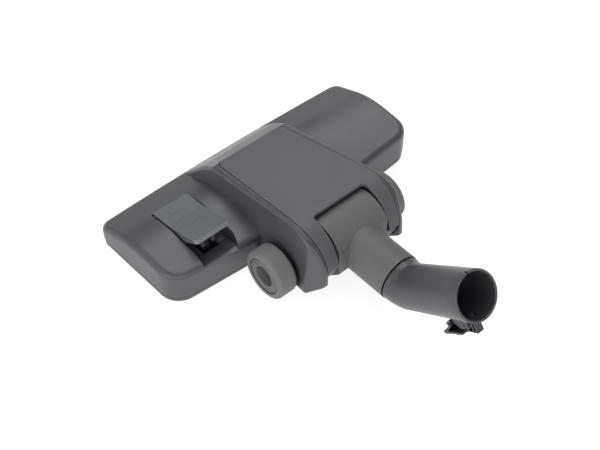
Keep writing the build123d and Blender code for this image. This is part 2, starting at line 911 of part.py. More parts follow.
with BuildPart() as pedal:
    with BuildSketch(Plane.YZ.offset(left_skirt)):
        with BuildLine():
            Polyline(
                (pedal_front, pedal_front_z),
                (pedal_crease_y, pedal_crease_z),
                (pedal_rear, pedal_rear_z),
                (lip_y, lip_z),
                (skirt_end, pedal_crease_z - pedal_skirt),
                (pedal_pivot_y - 2 * pedal_hub_radius, pedal_pivot_z),
                (pedal_pivot_y, pedal_pivot_z - pedal_hub_radius),
                (pedal_pivot_y + 2 * pedal_hub_radius, pedal_pivot_z),
                (pedal_front, pedal_front_z - pedal_plate),
                close=True,
            )
        make_face()
    extrude(amount=pedal_width)
    ends = edges().filter_by(lambda e: abs(e.length - pedal_plate) < seat)
    fillet(ends, pedal_corner_radius)
    with BuildSketch(Plane.YZ.offset(left_skirt + pedal_skirt)):
        with BuildLine():
            Polyline(
                (pedal_front - pedal_skirt, pedal_front_z - pedal_plate),
                (pedal_crease_y, pedal_crease_z - under),
                (pedal_rear + pedal_skirt, pedal_rear_z - under - pedal_skirt * tan(swing)),
                (pedal_rear + pedal_skirt, well_foot),
                (pedal_front - pedal_skirt, well_foot),
                close=True,
            )
        make_face()
    extrude(amount=pedal_width - 2 * pedal_skirt, mode=Mode.SUBTRACT)
    # Hub and the web that carries it
    with BuildSketch(Plane.YZ.offset(left_skirt)):
        with Locations((pedal_pivot_y, pedal_pivot_z)):
            Circle(pedal_hub_radius)
        with Locations((pedal_pivot_y, (pedal_pivot_z + pedal_crease_z - under / 2) / 2)):
            Rectangle(pedal_hub_radius, pedal_crease_z - under / 2 - pedal_pivot_z)
    extrude(amount=pedal_width)
    # Arms with the slots of the drive pin
    for side in (-1, 1):
        with BuildSketch(Plane.YZ.offset(pedal_x + side * pedal_arm_space / 2)):
            with BuildLine():
                Polyline(
                    (pedal_pivot_y, pad_height(pedal_pivot_y) - under / 2),
                    (arm_rear, pad_height(arm_rear) - under / 2),
                    (arm_rear, drive_z - 2 * drive_pin_radius - clear),
                    (pedal_pivot_y, pedal_pivot_z - pedal_hub_radius / 2),
                    close=True,
                )
            make_face()
            with Locations((drive_y, drive_z)):
                SlotOverall(
                    2 * drive_pin_radius + 4 * clear,
                    2 * drive_pin_radius + clear,
                    rotation=-pedal_swing / 2,
                    mode=Mode.SUBTRACT,
                )
        extrude(amount=side * pedal_arm)
    with BuildSketch(Plane.YZ.offset(pedal_x)):
        with Locations((pedal_pivot_y, pedal_pivot_z)):
            Circle(pedal_pin_radius + running)
    extrude(amount=pedal_width, both=True, mode=Mode.SUBTRACT)
save(pedal, "pedal")

with BuildPart() as pedal_pin:
    with BuildSketch(Plane.YZ.offset(pedal_x)):
        with Locations((pedal_pivot_y, pedal_pivot_z)):
            Circle(pedal_pin_radius)
    extrude(amount=pin_reach, both=True)
save(pedal_pin, "pedal_pin")

with BuildPart() as drive_pin:
    with BuildSketch(Plane.YZ.offset(pedal_x)):
        with Locations((drive_y, drive_z)):
            Circle(drive_pin_radius)
    extrude(amount=pedal_arm_space / 2 + pedal_arm + clear, both=True)
save(drive_pin, "drive_pin")

# Leaf spring that clicks against the pedal's hub
leaf_end = pedal_pivot_y + pedal_hub_radius + clear
leaf_z = pedal_pivot_z - pedal_hub_radius / 2
with BuildPart() as detent_spring:
    with BuildSketch(Plane.YZ.offset(pedal_x - leaf_width / 2)):
        with BuildLine():
            Polyline(
                (well_front - seat, well_foot),
                (well_front - seat, leaf_z),
                (leaf_end + clear, leaf_z),
                (leaf_end, leaf_z - leaf_thickness),
                (well_front - seat - leaf_thickness, leaf_z - leaf_thickness),
                (well_front - seat - leaf_thickness, well_foot),
                close=True,
            )
        make_face()
    extrude(amount=leaf_width)
save(detent_spring, "detent_spring")

# Brush carrier: a frame with a post for the drive pin
carrier_length = head_width - 2 * carrier_inset
bristle_length = carrier_length - 2 * bristle_inset
front_row = drive_y + carrier_spacing
row_middle = (drive_y + front_row) / 2
post_width = pedal_arm_space - 2 * clear
guide_x = (carrier_length - carrier_bar) / 2

with BuildPart() as bristle_carrier:
    with BuildSketch(Plane.XY.offset(carrier_rest)):
        with Locations((0, row_middle)):
            Rectangle(carrier_length, carrier_spacing + carrier_bar)
            Rectangle(carrier_length - 2 * carrier_bar, carrier_spacing - carrier_bar, mode=Mode.SUBTRACT)
        with Locations(*[(x, row_middle) for x in mirrored(guide_x)]):
            Circle(guide_radius + 2 * clear + wall)
            Circle(guide_radius + clear, mode=Mode.SUBTRACT)
    extrude(amount=carrier_height)
    with BuildSketch(Plane.YZ.offset(pedal_x - post_width / 2)):
        with Locations((drive_y, (carrier_rest + drive_z) / 2)):
            Rectangle(carrier_bar, drive_z - carrier_rest)
        with Locations((drive_y, drive_z)):
            Circle(carrier_bar / 2)
            Circle(drive_pin_radius + seat, mode=Mode.SUBTRACT)
    extrude(amount=post_width)
save(bristle_carrier, "bristle_carrier")

for name, row in (("front", front_row), ("rear", drive_y)):
    with BuildPart() as bristles:
        with BuildSketch(Plane.XY.offset(bristle_tip)):
            with Locations((0, row)):
                Rectangle(bristle_length, bristle_thickness)
        extrude(amount=carrier_rest - bristle_tip)
    save(bristles, f"bristle_strip_{name}")

# Sole plate: tray, suction channel, brush slots, guides and screw pillars
channel_length = carrier_length - 2 * channel_inset
channel_top = channel_depth + channel_wall
lint_rows = [(0, row_middle + side * lint_offset) for side in (-1, 1)]

with BuildPart() as sole_plate:
    with BuildSketch():
        head_plan(sole_inset)
    extrude(amount=parting_height)
    chamfer(faces().sort_by(Axis.Z)[0].edges(), sole_chamfer)
    with BuildSketch(Plane.XY.offset(sole_skin)):
        head_plan(sole_inset + wall)
    extrude(amount=parting_height, mode=Mode.SUBTRACT)
    with BuildSketch(Plane.XY.offset(sole_skin)):
        with Locations((0, row_middle)):
            Rectangle(channel_length + 2 * channel_wall, channel_width + 2 * channel_wall)
    extrude(amount=channel_top - sole_skin)
    with BuildSketch():
        with Locations((0, row_middle)):
            RectangleRounded(channel_length, channel_width, channel_width / 4)
    extrude(amount=channel_depth, mode=Mode.SUBTRACT)
    with BuildSketch():
        with Locations((0, row_middle)):
            Rectangle(mouth_length, channel_width)
    extrude(amount=2 * channel_top, mode=Mode.SUBTRACT)
    # Bridge across the middle of the channel
    with BuildSketch():
        with Locations((0, row_middle)):
            Rectangle(bridge_width, channel_width + 2 * channel_wall)
    extrude(amount=bridge_height)
    with BuildSketch():
        with Locations(*[(0, y) for y in (drive_y, front_row)]):
            Rectangle(bristle_length + 2 * clear, bristle_thickness + 2 * clear)
    extrude(amount=sole_skin, mode=Mode.SUBTRACT)
    with BuildSketch():
        with Locations(*lint_rows):
            Rectangle(lint_length + 2 * seat, lint_width + 2 * seat)
    extrude(amount=lint_depth, mode=Mode.SUBTRACT)
    with BuildSketch(Plane.XY.offset(sole_skin)):
        with Locations(*[(x, row_middle) for x in mirrored(guide_x)]):
            Circle(guide_radius)
    extrude(amount=guide_height - sole_skin)
    with BuildSketch(Plane.XY.offset(sole_skin)):
        with Locations(*screw_seat):
            Circle(boss_radius)
    extrude(amount=parting_height - sole_skin)
    with Locations(*[(x, y, 0) for x, y in screw_seat]):
        Cylinder(screw_radius + clear, 4 * parting_height, mode=Mode.SUBTRACT)
        Cylinder(screw_head_radius + clear, 2 * (screw_head + clear), mode=Mode.SUBTRACT)
save(sole_plate, "sole_plate")

for name, place in zip(("rear", "front"), lint_rows):
    with BuildPart() as lint_strip:
        with BuildSketch(Plane.XY.offset(seat)):
            with Locations(place):
                Rectangle(lint_length, lint_width)
        extrude(amount=lint_depth - seat)
    save(lint_strip, f"lint_strip_{name}")

# Suction duct from the sole's channel to the drum
duct_rear = drum_y + drum_radius - duct_lap
duct_ceiling = crown_height_at(duct_rear) - pocket_depth - wall - crown_gap

with BuildPart() as suction_duct:
    with BuildSketch(Plane.YZ):
        with BuildLine():
            Polyline(*duct_points(0), close=True)
        make_face()
    extrude(amount=duct_width / 2, both=True)
    with BuildSketch(Plane.YZ):
        with BuildLine():
            Polyline(*duct_points(duct_wall), close=True)
        make_face()
    extrude(amount=duct_width / 2 - duct_wall, both=True, mode=Mode.SUBTRACT)
    with BuildSketch(drum_plane):
        Circle(drum_radius + clear)
    extrude(amount=head_width, both=True, mode=Mode.SUBTRACT)
save(suction_duct, "suction_duct")

# Cradle: plate between the cheeks, trough under the drum and a bearing block for each trunnion
block_inner = drum_length / 2 + clear
trough_radius = drum_radius + clear
trough_rim = duct_floor - clear
trough_low = drum_z - trough_radius - 2 * trough_wall
cradle_front = cradle_screw_y + cradle_margin
cradle_rear = -saddle_rear + cheek_chamfer + 2 * wall * cos(radians(45)) + clear

with BuildPart() as bearing_blocks:
    for side in (-1, 1):
        with BuildSketch(Plane.YZ.offset(side * block_inner)):
            with Locations((drum_y, drum_z)):
                Circle(block_radius)
            with Locations((drum_y, (cheek_floor + drum_z) / 2)):
                Rectangle(block_length, drum_z - cheek_floor)
            with Locations((drum_y, drum_z + block_radius)):
                Rectangle(4 * block_radius, 2 * block_radius, mode=Mode.SUBTRACT)
        extrude(amount=side * (trunnion_reach + clear))
    with BuildSketch():
        cover_plan(0)
    extrude(amount=2 * saddle_top, mode=Mode.INTERSECT)

with BuildPart() as drum_cradle:
    with BuildSketch(Plane.XY.offset(cheek_floor)):
        saddle_section(cheek_floor, wall + clear)
        with Locations((0, (cradle_front + cradle_rear) / 2)):
            Rectangle(head_width, cradle_front - cradle_rear, mode=Mode.INTERSECT)
    extrude(amount=cradle_plate)
    with BuildSketch(Plane.YZ):
        with Locations((drum_y, drum_z)):
            Circle(trough_radius + trough_wall)
        with Locations(((way_front + cradle_rear) / 2, (trough_low + trough_rim) / 2)):
            Rectangle(way_front - cradle_rear, trough_rim - trough_low, mode=Mode.INTERSECT)
    extrude(amount=block_inner, both=True)
    add(bearing_blocks.part)
    with BuildSketch(drum_plane):
        Circle(trough_radius)
    extrude(amount=block_inner, both=True, mode=Mode.SUBTRACT)
    with BuildSketch(drum_plane):
        Circle(trunnion_radius + running)
    extrude(amount=2 * drum_length, both=True, mode=Mode.SUBTRACT)
    with BuildSketch():
        with Locations(*cradle_screws):
            Circle(screw_radius + clear)
    extrude(amount=2 * cheek_floor, mode=Mode.SUBTRACT)
save(drum_cradle, "drum_cradle")

# Screws of the sole and of the cradle
with BuildPart() as housing_screws:
    for places, level in ((screw_seat, screw_head + clear), (cradle_screws, cheek_floor)):
        with BuildSketch(Plane.XY.offset(level - screw_head)):
            with Locations(*places):
                Circle(screw_head_radius)
        extrude(amount=screw_head)
        with BuildSketch(Plane.XY.offset(level)):
            with Locations(*places):
                Circle(screw_radius)
        extrude(amount=screw_length)
        with BuildSketch(Plane.XY.offset(level - screw_head)):
            with Locations(*places):
                Rectangle(screw_recess, screw_recess_width)
                Rectangle(screw_recess_width, screw_recess)
        extrude(amount=screw_head / 2, mode=Mode.SUBTRACT)
save(housing_screws, "housing_screws")
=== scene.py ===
"""Looks of the vacuum floor brush head: finishes, elbow and latch, fibres, fine relief, light and camera."""
import random
from math import cos, pi, radians, sin, sqrt

import bmesh
import bpy
from mathutils import Matrix, Vector


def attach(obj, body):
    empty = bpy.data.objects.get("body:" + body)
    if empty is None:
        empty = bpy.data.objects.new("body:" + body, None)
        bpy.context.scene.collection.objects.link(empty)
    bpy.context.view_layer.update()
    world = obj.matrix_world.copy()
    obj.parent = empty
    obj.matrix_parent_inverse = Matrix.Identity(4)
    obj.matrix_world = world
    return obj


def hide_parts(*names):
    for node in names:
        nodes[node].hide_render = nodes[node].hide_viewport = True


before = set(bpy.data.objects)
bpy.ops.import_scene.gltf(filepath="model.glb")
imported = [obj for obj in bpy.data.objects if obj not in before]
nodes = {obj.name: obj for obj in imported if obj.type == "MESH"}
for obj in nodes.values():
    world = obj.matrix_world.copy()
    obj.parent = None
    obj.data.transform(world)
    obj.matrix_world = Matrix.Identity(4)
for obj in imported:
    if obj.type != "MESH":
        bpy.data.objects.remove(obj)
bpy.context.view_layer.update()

# Finishes

# Colour sockets of a Mix node, by number because their names repeat
MIX_FACTOR = 0
MIX_A = 6
MIX_B = 7
MIX_RESULT = 2

DRIFT_SCALE = 18.0
DRIFT_LOW = 0.3
DRIFT_HIGH = 0.7
GLOSS_SPREAD = 0.06
# Lighter edges in the base colour: partly wear, partly painted highlight
WORN_HIGHLIGHT_STARTS = 0.99
WORN_HIGHLIGHT_FULL = 0.80
WORN_HIGHLIGHT_SAMPLES = 4
WORN_HIGHLIGHT_TONE = 2.2
# Painted shade in the gaps and under the edges, from ambient occlusion
NOOK_REACH = 0.005
NOOK_CLOSED = 0.25
NOOK_OPEN = 0.85
NOOK_DARKEST = 0.25
NOOK_SAMPLES = 8
EDGE_SAMPLES = 6
GRAIN_HEIGHT = 0.0001


def new_finish(name):
    """New node material, with its tree and its shader."""
    mat = bpy.data.materials.new(name)
    mat.use_nodes = True
    return mat, mat.node_tree, mat.node_tree.nodes["Principled BSDF"]


def add_node(tree, kind, values=None):
    """New node in a tree, with some of its inputs set."""
    node = tree.nodes.new(kind)
    for socket, value in (values or {}).items():
        node.inputs[socket].default_value = value
    return node


def add_tones(tree, noise, dark, light, low=0.0, high=1.0):
    """Ramp from a dark tone to a light one between two levels of a noise."""
    ramp = add_node(tree, "ShaderNodeValToRGB")
    first, last = ramp.color_ramp.elements
    first.position = low
    first.color = (*dark, 1.0)
    last.position = high
    last.color = (*light, 1.0)
    tree.links.new(noise.outputs["Fac"], ramp.inputs["Fac"])
    return ramp


def plastic(name, tint, shade, rough, grain, bump, specular=0.5, bevel=0.0004, worn_highlight=0.5):
    """Moulded plastic: slow tone drift, worn edges with painted highlight, painted gap shade, fine
    spark-eroded grain.
    """
    mat, tree, shader = new_finish(name)
    shader.inputs["Specular IOR Level"].default_value = specular
    place = add_node(tree, "ShaderNodeTexCoord")
    drift = add_node(tree, "ShaderNodeTexNoise", {"Scale": DRIFT_SCALE, "Detail": 3.0})
    tree.links.new(place.outputs["Object"], drift.inputs["Vector"])
    tone = add_tones(tree, drift, shade, tint, DRIFT_LOW, DRIFT_HIGH)
    # Lighter edges, where the softened normal leaves the true one: partly wear, partly painted highlight
    round_off = add_node(tree, "ShaderNodeBevel", {"Radius": 2 * bevel})
    round_off.samples = WORN_HIGHLIGHT_SAMPLES
    facing = add_node(tree, "ShaderNodeNewGeometry")
    turn = add_node(tree, "ShaderNodeVectorMath")
    turn.operation = "DOT_PRODUCT"
    tree.links.new(round_off.outputs["Normal"], turn.inputs[0])
    tree.links.new(facing.outputs["Normal"], turn.inputs[1])
    edge_range = {"From Min": WORN_HIGHLIGHT_STARTS, "From Max": WORN_HIGHLIGHT_FULL, "To Max": worn_highlight}
    worn_highlight_mask = add_node(tree, "ShaderNodeMapRange", edge_range)
    tree.links.new(turn.outputs["Value"], worn_highlight_mask.inputs["Value"])
    worn_highlight_mix = add_node(tree, "ShaderNodeMix")
    worn_highlight_mix.data_type = "RGBA"
    worn_highlight_mix.inputs[MIX_B].default_value = (*[WORN_HIGHLIGHT_TONE * channel for channel in tint], 1.0)
    tree.links.new(worn_highlight_mask.outputs["Result"], worn_highlight_mix.inputs[MIX_FACTOR])
    tree.links.new(tone.outputs["Color"], worn_highlight_mix.inputs[MIX_A])
    # Shade in the gaps and under the edges
    nook_shade = add_node(tree, "ShaderNodeAmbientOcclusion", {"Distance": NOOK_REACH})
    nook_shade.samples = NOOK_SAMPLES
    nook_range = {"From Min": NOOK_CLOSED, "From Max": NOOK_OPEN, "To Min": NOOK_DARKEST}
    nook_shade_level = add_node(tree, "ShaderNodeMapRange", nook_range)
    tree.links.new(nook_shade.outputs["AO"], nook_shade_level.inputs["Value"])
    shaded = add_node(tree, "ShaderNodeMix")
    shaded.data_type = "RGBA"
    shaded.blend_type = "MULTIPLY"
    shaded.inputs[MIX_FACTOR].default_value = 1.0
    tree.links.new(worn_highlight_mix.outputs[MIX_RESULT], shaded.inputs[MIX_A])
    tree.links.new(nook_shade_level.outputs["Result"], shaded.inputs[MIX_B])
    tree.links.new(shaded.outputs[MIX_RESULT], shader.inputs["Base Color"])
    # Gloss that drifts with the tone
    gloss_range = {
        "From Min": DRIFT_LOW,
        "From Max": DRIFT_HIGH,
        "To Min": rough - GLOSS_SPREAD,
        "To Max": rough + GLOSS_SPREAD,
    }
    gloss = add_node(tree, "ShaderNodeMapRange", gloss_range)
    tree.links.new(drift.outputs["Fac"], gloss.inputs["Value"])
    tree.links.new(gloss.outputs["Result"], shader.inputs["Roughness"])
    # Grain over softened edges
    pits = add_node(tree, "ShaderNodeTexNoise", {"Scale": grain, "Detail": 2.0})
    tree.links.new(place.outputs["Object"], pits.inputs["Vector"])
    edge = add_node(tree, "ShaderNodeBevel", {"Radius": bevel})
    edge.samples = EDGE_SAMPLES
    relief = add_node(tree, "ShaderNodeBump", {"Strength": bump, "Distance": GRAIN_HEIGHT})
    tree.links.new(pits.outputs["Fac"], relief.inputs["Height"])
    tree.links.new(edge.outputs["Normal"], relief.inputs["Normal"])
    tree.links.new(relief.outputs["Normal"], shader.inputs["Normal"])
    return mat


def steel(name):
    """Drawn steel with fine lines along X."""
    mat, tree, shader = new_finish(name)
    shader.inputs["Metallic"].default_value = 1.0
    place = add_node(tree, "ShaderNodeTexCoord")
    stretch = add_node(tree, "ShaderNodeMapping", {"Scale": (60.0, 2500.0, 2500.0)})
    tree.links.new(place.outputs["Object"], stretch.inputs["Vector"])
    lines = add_node(tree, "ShaderNodeTexNoise", {"Scale": 1.0})
    tree.links.new(stretch.outputs["Vector"], lines.inputs["Vector"])
    tone = add_tones(tree, lines, (0.38, 0.38, 0.39), (0.62, 0.62, 0.62))
    tree.links.new(tone.outputs["Color"], shader.inputs["Base Color"])
    gloss = add_node(tree, "ShaderNodeMapRange", {"To Min": 0.25, "To Max": 0.45})
    tree.links.new(lines.outputs["Fac"], gloss.inputs["Value"])
    tree.links.new(gloss.outputs["Result"], shader.inputs["Roughness"])
    return mat


# Each with its tint, its darker shade, roughness, scale of the grain and strength of the grain
housing = plastic("housing_satin", (0.064, 0.062, 0.071), (0.059, 0.057, 0.066), 0.36, 2200.0, 0.12,
                  bevel=0.0012, worn_highlight=0.35)
sole = plastic("sole_satin", (0.061, 0.060, 0.064), (0.055, 0.054, 0.058), 0.44, 2000.0, 0.12)
cover = plastic("cover_matte", (0.085, 0.082, 0.094), (0.079, 0.076, 0.088), 0.55, 1800.0, 0.22,
                bevel=0.0008)
pedal = plastic("pedal_matte", (0.103, 0.110, 0.117), (0.095, 0.102, 0.109), 0.52, 1800.0, 0.22,
                bevel=0.0006, worn_highlight=0.7)
# Lighter finish of the pedal's lip: a painted highlight
lip_highlight = plastic("pedal_lip_highlit", (0.165, 0.172, 0.172), (0.150, 0.157, 0.157), 0.45, 1800.0, 0.2, worn_highlight=0.3)
hub = plastic("hub_matte", (0.092, 0.090, 0.089), (0.086, 0.084, 0.083), 0.55, 1800.0, 0.15)
tyre = plastic("tyre_rubber", (0.148, 0.144, 0.144), (0.135, 0.132, 0.132), 0.66, 1500.0, 0.3,
               specular=0.35)
neck = plastic("neck_matte", (0.110, 0.109, 0.110), (0.102, 0.101, 0.102), 0.58, 1700.0, 0.25)
elbow = plastic("elbow_satin", (0.050, 0.048, 0.056), (0.045, 0.043, 0.051), 0.34, 2400.0, 0.08,
                bevel=0.0006, worn_highlight=0.8)
latch = plastic("latch_satin", (0.040, 0.039, 0.041), (0.036, 0.035, 0.037), 0.42, 2200.0, 0.1)
seal = plastic("seal_rubber", (0.040, 0.040, 0.041), (0.034, 0.034, 0.035), 0.7, 1500.0, 0.3,
               specular=0.35)
bristle = plastic("bristle_nylon", (0.050, 0.050, 0.052), (0.036, 0.036, 0.038), 0.5, 900.0, 0.1,
                  bevel=0.0001)
pile = plastic("lint_pile", (0.330, 0.060, 0.062), (0.230, 0.040, 0.042), 0.85, 900.0, 0.3,
               specular=0.2, bevel=0.0001)
metal = steel("drawn_steel")

# Pins, axles, springs and screws are not listed, and are of steel
finish_of = {
    "upper_housing": housing,
    "sole_plate": sole,
    "centre_cover": cover,
    "pedal": pedal,
    "wheel_hub_left": hub,
    "wheel_hub_right": hub,
    "wheel_tyre_left": tyre,
    "wheel_tyre_right": tyre,
    "neck_drum": neck,
    "swivel_elbow": elbow,
    "latch_lever": latch,
    "drum_cradle": sole,
    "bristle_carrier": sole,
    "suction_duct": sole,
    "swivel_clip": latch,
    "swivel_seal": seal,
    "bristle_strip_front": bristle,
    "bristle_strip_rear": bristle,
    "lint_strip_front": pile,
    "lint_strip_rear": pile,
}
for name, obj in nodes.items():
    obj.data.materials.clear()
    obj.data.materials.append(finish_of.get(name, metal))

# Mesh tools, with lengths in millimetres

MM = 0.001
ACROSS = Vector((1.0, 0.0, 0.0))
UPWARD = Vector((0.0, 0.0, 1.0))
FIBRE_SIDES = 3
FIBRE_TAPER = ((0.0, 1.0), (0.55, 0.9), (1.0, 0.45))  # shares of the length and of the thickness


def mesh_piece(name, points, faces, body, finish, crease=35.0):
    """New mesh object, with its points in millimetres, that rides on a body."""
    mesh = bpy.data.meshes.new(name)
    mesh.from_pydata([Vector(p) * MM for p in points], [], faces)
    shape = bmesh.new()
    shape.from_mesh(mesh)
    bmesh.ops.recalc_face_normals(shape, faces=shape.faces)
    shape.to_mesh(mesh)
    shape.free()
    mesh.shade_smooth()
    mesh.set_sharp_from_angle(angle=radians(crease))
    mesh.materials.append(finish)
    piece = bpy.data.objects.new(name, mesh)
    bpy.context.scene.collection.objects.link(piece)
    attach(piece, body)
    return piece


def add_skin(points, faces, rings):
    """Adds a skin over a row of rings with equal numbers of points, closed at both ends."""
    first = len(points)
    sides = len(rings[0])
    for ring in rings:
        points.extend(ring)
    last = len(points) - sides
    for start in range(first, last, sides):
        for k in range(sides):
            n = (k + 1) % sides
            faces.append((start + k, start + n, start + sides + n, start + sides + k))
    faces.append(tuple(range(first, first + sides)))
    faces.append(tuple(range(last, last + sides)))


def add_slab(points, faces, outline, x_from, x_to, place):
    """Adds a flat outline between two planes of X, each of its corners put in place by a function."""
    add_skin(points, faces, [[place(x, *corner) for corner in outline] for x in (x_from, x_to)])


def add_fibre(points, faces, root, tip, thickness, bow):
    """Adds one bristle or pile fibre: a tapered three-sided stalk that bows on its way to the tip."""
    turns = [2.0 * pi * k / FIBRE_SIDES for k in range(FIBRE_SIDES)]
    rings = []
    for share, width in FIBRE_TAPER:
        middle = root.lerp(tip, share) + bow * (share * (1.0 - share))
        radius = thickness / 2 * width
        rings.append([middle + Vector((cos(turn), sin(turn), 0.0)) * radius for turn in turns])
    add_skin(points, faces, rings)


# Swivel elbow: one swept wall from the spigot round the bend to the widened mouth

START_Y = -164.8
START_RADIUS = 18.8
START_EDGE = ((0.0, 18.35), (0.2, 18.65), (0.7, START_RADIUS))  # distance along, radius
AXIS_Z = 38.5
BEND_ANGLE = radians(36.88)
BEND_RADIUS = 26.0
BEND_STEPS = 14
LEAD = 1.56
ARM = 67.6
MOUTH_RADIUS = 19.44
MOUTH_EDGE = ((0.8, 0.02), (0.25, 0.12), (0.0, 0.45))  # back from the mouth, in from its radius
NECK_RADIUS = 17.95
SOCKET_RADIUS = 17.5
SOCKET_DEPTH = 40.0
BORE_RADIUS = 14.2
CHAMFER = 0.4
SPIGOT_RADIUS = 16.4
SPIGOT_END = -19.1
CLIP_RADIUS = 15.2
CLIP_FROM = -12.9
CLIP_TO = -9.7
SLIT_ANGLE = radians(2.2)
SLIT_SIDES = (0.9, 1.1)
SLIT_DEPTH = 3.0
SLOT_FROM = 10.7
SLOT_TO = 16.2
SLOT_ANGLE = radians(7.2)
ELBOW_SIDES = 96
bend_end = LEAD + BEND_RADIUS * BEND_ANGLE
mouth = bend_end + ARM


def elbow_middle(run):
    """Point on the elbow's middle line, with the direction up across it, at one distance along it."""
    turn = min(max(run - LEAD, 0.0) / BEND_RADIUS, BEND_ANGLE)
    beyond = max(run - bend_end, 0.0)
    straight = min(run, LEAD)
    y = START_Y - straight - BEND_RADIUS * sin(turn) - beyond * cos(turn)
    z = AXIS_Z + BEND_RADIUS * (1.0 - cos(turn)) + beyond * sin(turn)
    return Vector((0.0, y, z)), Vector((0.0, sin(turn), cos(turn)))


def elbow_point(run, radius, around):
    """Point at one distance along the elbow, at a radius and an angle from its top."""
    centre, rise = elbow_middle(run)
    return centre + (rise * cos(around) + ACROSS * sin(around)) * radius


# Outline of the wall, as distance along and radius: outside to the mouth, then back inside to the spigot
bend_runs = [LEAD + (bend_end - LEAD) * k / BEND_STEPS for k in range(BEND_STEPS + 1)]
flare = (MOUTH_RADIUS - NECK_RADIUS) / ARM
wall_line = list(START_EDGE)
wall_line += [(run, START_RADIUS + (NECK_RADIUS - START_RADIUS) * run / bend_end) for run in bend_runs]
outer_slot = len(wall_line)
wall_line += [(mouth - back, MOUTH_RADIUS - flare * back) for back in (SLOT_TO, SLOT_FROM)]
wall_line += [(mouth - back, MOUTH_RADIUS - inward) for back, inward in MOUTH_EDGE]
wall_line += [(mouth, SOCKET_RADIUS + CHAMFER), (mouth - CHAMFER, SOCKET_RADIUS)]
inner_slot = len(wall_line)
wall_line += [(mouth - back, SOCKET_RADIUS) for back in (SLOT_FROM, SLOT_TO, SOCKET_DEPTH)]
wall_line += [
    (mouth - SOCKET_DEPTH, BORE_RADIUS + CHAMFER),
    (mouth - SOCKET_DEPTH - CHAMFER, BORE_RADIUS),
]
wall_line += [(run, BORE_RADIUS) for run in reversed(bend_runs)]
wall_line += [
    (SPIGOT_END, BORE_RADIUS),
    (SPIGOT_END, SPIGOT_RADIUS - CHAMFER),
    (SPIGOT_END + CHAMFER, SPIGOT_RADIUS),
    (CLIP_FROM, SPIGOT_RADIUS),
    (CLIP_FROM, CLIP_RADIUS),
    (CLIP_TO, CLIP_RADIUS),
    (CLIP_TO, SPIGOT_RADIUS),
    (0.0, SPIGOT_RADIUS),
]

# Angles round the wall, with columns at the sides of the slit in its top and of the slot in its bottom
rounds = [2.0 * pi * k / ELBOW_SIDES for k in range(ELBOW_SIDES)]
rounds += [sign * SLIT_ANGLE * share % (2.0 * pi) for sign in (-1, 1) for share in SLIT_SIDES]
rounds += [pi - SLOT_ANGLE, pi + SLOT_ANGLE]
rounds.sort()
slot_left = rounds.index(pi - SLOT_ANGLE)
slot_right = rounds.index(pi + SLOT_ANGLE)
points = []
faces = []
for run, radius in wall_line:
    for around in rounds:
        from_top = min(around, 2.0 * pi - around)
        reach = min(run, mouth - SLIT_DEPTH) if from_top < SLIT_ANGLE else run
        points.append(elbow_point(reach, radius, around))
sides = len(rounds)
for i in range(len(wall_line)):
    n = (i + 1) % len(wall_line)
    for k in range(sides):
        j = (k + 1) % sides
        if i in (outer_slot, inner_slot) and slot_left <= k < slot_right:
            continue
        faces.append((i * sides + k, i * sides + j, n * sides + j, n * sides + k))

# Walls of the slot for the latch's nose, from the outer wall to the inner one
slot_rear = (outer_slot * sides, (inner_slot + 1) * sides)
slot_front = ((outer_slot + 1) * sides, inner_slot * sides)
for outer, inner in (slot_rear, slot_front):
    for k in range(slot_left, slot_right):
        faces.append((outer + k, outer + k + 1, inner + k + 1, inner + k))
for k in (slot_left, slot_right):
    faces.append((slot_rear[0] + k, slot_front[0] + k, slot_front[1] + k, slot_rear[1] + k))

# Latch ears under the socket, each with a rim and a rib, and the ends of the pin

EAR_INNER = 3.4
EAR_OUTER = 5.0
RIM_OUTER = 5.5
RIM_WIDTH = 1.0
EAR_BACK = 24.3
EAR_HEIGHT = -18.2
EAR_HALF = 8.0
EAR_DROP = 9.0
EAR_STEPS = 24
PIN_BACK = 22.2
PIN_HEIGHT = -25.7
PIN_RADIUS = 1.2
PIN_SINK = 0.1
PIN_PROUD = 0.2
PIN_STEPS = 16
OVERLAP = 0.3
PARTING = 0.03  # keeps slabs that meet from sharing an edge


def under_socket(x, back, height):
    """Point at a distance back from the mouth and at a height over the socket's middle line."""
    centre, rise = elbow_middle(mouth - back)
    return Vector((x, 0.0, 0.0)) + centre + rise * height


def ear_arc(inset):
    """Lower outline of an ear, drawn in by an inset."""
    turns = [pi + pi * k / EAR_STEPS for k in range(EAR_STEPS + 1)]
    return [
        (EAR_BACK + (EAR_HALF - inset) * cos(turn), EAR_HEIGHT + (EAR_DROP - inset) * sin(turn))
        for turn in turns
    ]


def pin_circle(radius):
    """Circle round the latch's pin."""
    turns = [2.0 * pi * k / PIN_STEPS for k in range(PIN_STEPS)]
    return [(PIN_BACK + radius * cos(turn), PIN_HEIGHT + radius * sin(turn)) for turn in turns]


ear_rim = ear_arc(PARTING) + ear_arc(RIM_WIDTH)[::-1]
ear_rib = [
    (EAR_BACK - 0.2, -19.2),
    (EAR_BACK - 2.6, -26.2),
    (EAR_BACK - 0.4, -26.6),
    (EAR_BACK + 2.0, -19.2),
]
ear_slabs = [
    (ear_arc(0.0), EAR_INNER, EAR_OUTER),
    (ear_rim, EAR_OUTER - OVERLAP, RIM_OUTER),
    (ear_rib, EAR_OUTER - OVERLAP, RIM_OUTER - PARTING),
    (pin_circle(PIN_RADIUS), EAR_INNER + PIN_SINK, RIM_OUTER + PIN_PROUD),
]
for side in (-1, 1):
    for outline, x_from, x_to in ear_slabs:
        add_slab(points, faces, outline, side * x_from, side * x_to, under_socket)
elbow_piece = mesh_piece("elbow_wall", points, faces, "elbow", elbow)
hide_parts("swivel_elbow", "latch_pin")

# Latch lever: a wall on the right, a hub and a brace on the left, ribs across, a nose and a wide tab

